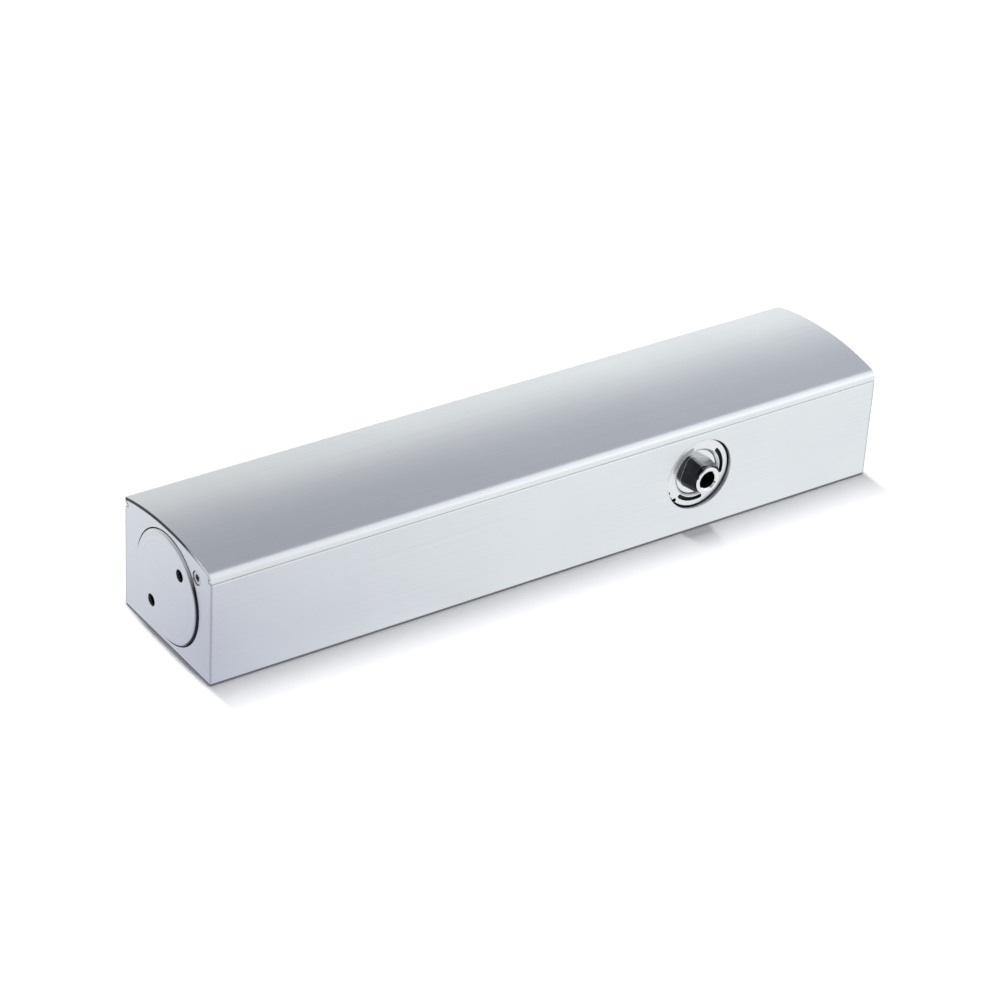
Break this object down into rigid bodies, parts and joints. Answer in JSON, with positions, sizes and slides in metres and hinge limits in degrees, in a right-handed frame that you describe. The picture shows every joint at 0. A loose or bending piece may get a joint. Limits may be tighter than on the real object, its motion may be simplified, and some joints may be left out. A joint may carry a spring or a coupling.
{
  "type": "overhead door closer",
  "caption": "Slim rectangular hydraulic door closer with arched slide-on cover, square taper spindle and rack-and-pinion inside.",
  "frame": {"origin": "centre of the flat mounting face on the closer's back", "axes": "+X along the body towards the end nearer the spindle, +Z out of the mounting face towards the cover, -Y out of the spindle side"},
  "size_m": [0.2938, 0.0653, 0.0488],
  "materials": {
    "body_aluminium": "satin anodised, fine grain",
    "cover_aluminium": "satin anodised, brushed along the length",
    "plug_aluminium": "turned, satin anodised",
    "cap_steel": "turned, bright zinc plated",
    "spindle_steel": "ground and hardened, oiled",
    "washer_steel": "ground",
    "spring_steel": "oil hardened wire, ground ends",
    "piston_iron": "fine turned and ground",
    "bush_bronze": "sintered bronze",
    "valve_steel": "turned, nickel plated",
    "seal_rubber": "black nitrile rubber"
  },
  "bodies": {
    "closer_body": {"housing": "body_aluminium", "left_end_plug": "plug_aluminium", "right_end_plug": "plug_aluminium", "left_plug_seal": "seal_rubber", "right_plug_seal": "seal_rubber", "front_bearing_cap": "cap_steel", "rear_bearing_cap": "cap_steel", "front_cap_seal": "seal_rubber", "rear_cap_seal": "seal_rubber", "front_bush": "bush_bronze", "rear_bush": "bush_bronze", "front_thrust_washer": "washer_steel", "rear_thrust_washer": "washer_steel", "shaft_seal": "seal_rubber", "spring_seat": "washer_steel", "closing_spring": "spring_steel"},
    "spindle": {"pinion_shaft": "spindle_steel"},
    "piston_group": {"piston": "piston_iron", "check_valve_retainer": "washer_steel"},
    "check_poppet": {"check_valve_poppet": "washer_steel"},
    "cover_body": {"cover": "cover_aluminium"},
    "backcheck_screw": {"backcheck_valve": "valve_steel", "backcheck_valve_seal": "seal_rubber"},
    "closing_screw": {"closing_valve": "valve_steel", "closing_valve_seal": "seal_rubber"},
    "latching_screw": {"latching_valve": "valve_steel", "latching_valve_seal": "seal_rubber"}
  },
  "joints": [
    {"name": "spindle_turn", "type": "hinge", "parent": "closer_body", "child": "spindle", "pos_m": [0.064, 0, 0.024], "axis": [0, -1, 0], "range_deg": [0, 180]},
    {"name": "piston_slide", "type": "slide", "parent": "closer_body", "child": "piston_group", "axis": [-1, 0, 0], "range_m": [0, 0.03015], "stiffness_N_per_m": 60000, "deforming": ["closing_spring"]},
    {"name": "check_poppet_lift", "type": "slide", "parent": "piston_group", "child": "check_poppet", "axis": [1, 0, 0], "range_m": [0, 0.003]},
    {"name": "cover_slide", "type": "slide", "parent": "closer_body", "child": "cover_body", "axis": [1, 0, 0], "range_m": [0, 0.292]},
    {"name": "backcheck_turn", "type": "hinge", "parent": "closer_body", "child": "backcheck_screw", "pos_m": [-0.146, -0.0199, 0.039], "axis": [-1, 0, 0], "range_deg": [-360, 360]},
    {"name": "closing_turn", "type": "hinge", "parent": "closer_body", "child": "closing_screw", "pos_m": [0.146, -0.0199, 0.039], "axis": [1, 0, 0], "range_deg": [-360, 360]},
    {"name": "latching_turn", "type": "hinge", "parent": "closer_body", "child": "latching_screw", "pos_m": [0.146, 0.0199, 0.039], "axis": [1, 0, 0], "range_deg": [-360, 360]}
  ],
  "couplings": [
    {"joint": "spindle_turn", "follows": "piston_slide", "rad_per_m": 104.17}
  ]
}
